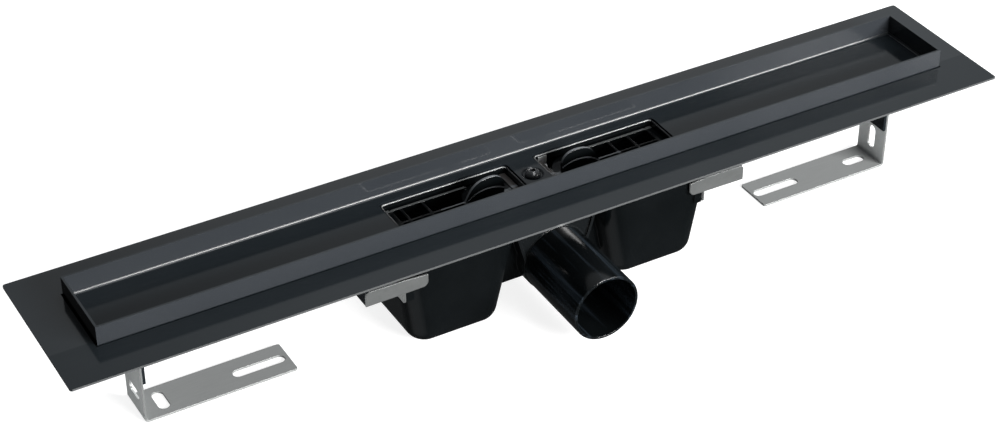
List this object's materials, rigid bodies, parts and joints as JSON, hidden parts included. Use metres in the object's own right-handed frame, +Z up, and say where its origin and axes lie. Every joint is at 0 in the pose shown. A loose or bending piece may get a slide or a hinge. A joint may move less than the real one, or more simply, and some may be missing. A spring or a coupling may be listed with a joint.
{
  "type": "shower channel drain",
  "caption": "Long black shower channel drain with a welded collar flange, trap cups with lift-out inserts, round side outlet and slotted grey legs.",
  "frame": {"origin": "on the floor under the middle of the whole part, between its two feet along X", "axes": "+Z up, +X along the channel to the right when the outlet points to the viewer, outlet pipe points to -Y"},
  "size_m": [0.72, 0.158, 0.1011],
  "materials": {
    "black_coated_steel": "satin black coating on stainless sheet",
    "grey_steel": "satin galvanised sheet",
    "black_plastic": "glossy moulded plastic",
    "seal_rubber": "matt",
    "brass": "turned",
    "fastener_steel": "zinc plated",
    "black_screw": "black",
    "bright_spring_steel": "bright strip"
  },
  "bodies": {
    "channel": {"channel_tray": "black_coated_steel", "collar_flange": "black_coated_steel", "hanger_tab_left": "black_coated_steel", "hanger_tab_right": "black_coated_steel", "leg_bolts": "fastener_steel", "leg_washers": "fastener_steel", "leg_nuts": "fastener_steel", "siphon_body": "black_plastic", "outlet_spigot": "black_plastic", "siphon_gasket": "seal_rubber", "trap_insert_left": "black_plastic", "trap_insert_right": "black_plastic", "port_seals": "seal_rubber", "clamp_screw": "black_screw", "screw_washer": "seal_rubber", "threaded_insert": "brass", "end_clamp_left": "black_coated_steel", "end_clamp_right": "black_coated_steel", "clamp_plates_left": "grey_steel", "clamp_plates_right": "grey_steel", "retaining_clip": "bright_spring_steel"},
    "leg_left": {"leg_bracket_left": "grey_steel"},
    "leg_right": {"leg_bracket_right": "grey_steel"}
  },
  "joints": [
    {"name": "leg_left_height", "type": "slide", "parent": "channel", "child": "leg_left", "axis": [0, 0, 1], "range_m": [-0.019, 0.001]},
    {"name": "leg_right_height", "type": "slide", "parent": "channel", "child": "leg_right", "axis": [0, 0, 1], "range_m": [-0.019, 0.001]}
  ]
}
